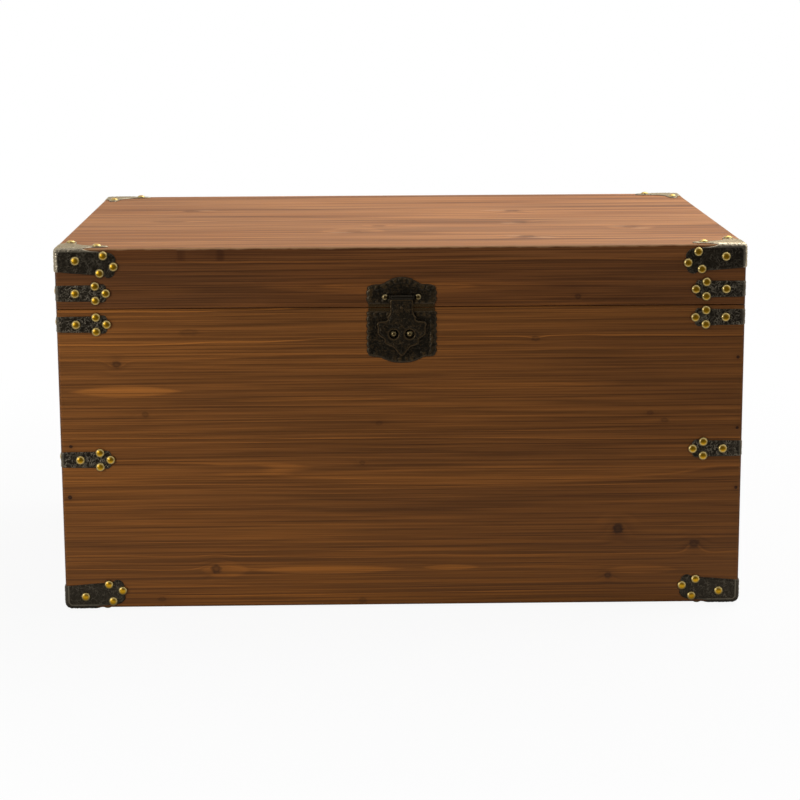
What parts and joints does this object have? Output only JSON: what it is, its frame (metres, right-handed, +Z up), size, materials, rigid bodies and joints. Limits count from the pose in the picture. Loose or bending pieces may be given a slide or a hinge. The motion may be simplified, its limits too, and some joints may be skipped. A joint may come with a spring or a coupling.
{
  "type": "sea chest",
  "caption": "Rectangular stained pine storage chest with a deep hinged lid, embossed dark iron corner caps and straps set with domed brass tacks, a hasp latch and end handles",
  "frame": {"origin": "on the floor, under the middle of the chest's box, at the crowns of the tacks it stands on", "axes": "+X runs along the front to the viewer's right, +Y from front to back, +Z up"},
  "size_m": [0.83, 0.5852, 0.4375],
  "materials": {
    "case_wood": "knotty pine boards, brown stain, satin varnish",
    "panel_wood": "thin pine panel, unfinished",
    "black_iron": "embossed sheet iron, blackened and waxed",
    "tack_brass": "domed brass, polished",
    "latch_bronze": "pressed sheet, dark antique bronze",
    "nail_brass": "dull brass nail heads",
    "stay_steel": "plain steel bar and studs"
  },
  "bodies": {
    "chest": {"back_left_foot_cap": "black_iron", "back_lower_board": "case_wood", "back_right_foot_cap": "black_iron", "back_upper_board": "case_wood", "bottom_panel": "panel_wood", "chest_tacks": "tack_brass", "foot_tacks": "tack_brass", "front_left_foot_cap": "black_iron", "front_lower_board": "case_wood", "front_right_foot_cap": "black_iron", "front_upper_board": "case_wood", "handle_screws": "black_iron", "hinge_lower_screws": "black_iron", "latch_lower_nails": "nail_brass", "latch_lower_plate": "latch_bronze", "left_end_lower_board": "case_wood", "left_end_upper_board": "case_wood", "left_handle_plate": "black_iron", "left_hinge_lower_leaf": "black_iron", "left_hinge_pin": "black_iron", "middle_straps": "black_iron", "right_end_lower_board": "case_wood", "right_end_upper_board": "case_wood", "right_handle_plate": "black_iron", "right_hinge_lower_leaf": "black_iron", "right_hinge_pin": "black_iron", "stay_stud": "stay_steel", "upper_straps": "black_iron"},
    "lid": {"back_left_lid_cap": "black_iron", "back_right_lid_cap": "black_iron", "front_left_lid_cap": "black_iron", "front_right_lid_cap": "black_iron", "hasp_pin": "latch_bronze", "hinge_upper_screws": "black_iron", "latch_upper_nails": "nail_brass", "latch_upper_plate": "latch_bronze", "left_hinge_upper_leaf": "black_iron", "lid_back_board": "case_wood", "lid_front_board": "case_wood", "lid_left_end": "case_wood", "lid_right_end": "case_wood", "lid_straps": "black_iron", "lid_tacks": "tack_brass", "lid_top_back_board": "case_wood", "lid_top_front_board": "case_wood", "right_hinge_upper_leaf": "black_iron", "stay_pivot": "stay_steel"},
    "hasp": {"hasp_flap": "latch_bronze"},
    "left_handle": {"left_handle_bail": "black_iron"},
    "right_handle": {"right_handle_bail": "black_iron"},
    "stay": {"stay_arm": "stay_steel"}
  },
  "joints": [
    {"name": "lid_hinge", "type": "hinge", "parent": "chest", "child": "lid", "pos_m": [0, 0.289, 0.3626], "axis": [-1, 0, 0], "range_deg": [0, 100]},
    {"name": "hasp_swing", "type": "hinge", "parent": "lid", "child": "hasp", "pos_m": [0, -0.2896, 0.3746], "axis": [-1, 0, 0], "range_deg": [0, 165]},
    {"name": "left_handle_swing", "type": "hinge", "parent": "chest", "child": "left_handle", "pos_m": [-0.409, 0, 0.2402], "axis": [0, 1, 0], "range_deg": [0, 165]},
    {"name": "right_handle_swing", "type": "hinge", "parent": "chest", "child": "right_handle", "pos_m": [0.409, 0, 0.2402], "axis": [0, -1, 0], "range_deg": [0, 165]},
    {"name": "stay_swing", "type": "hinge", "parent": "lid", "child": "stay", "pos_m": [0.3825, 0.18262, 0.3906], "axis": [-1, 0, 0], "range_deg": [-52, 0]}
  ],
  "couplings": [
    {"joint": "stay_swing", "follows": "lid_hinge", "ratio": -0.5}
  ]
}
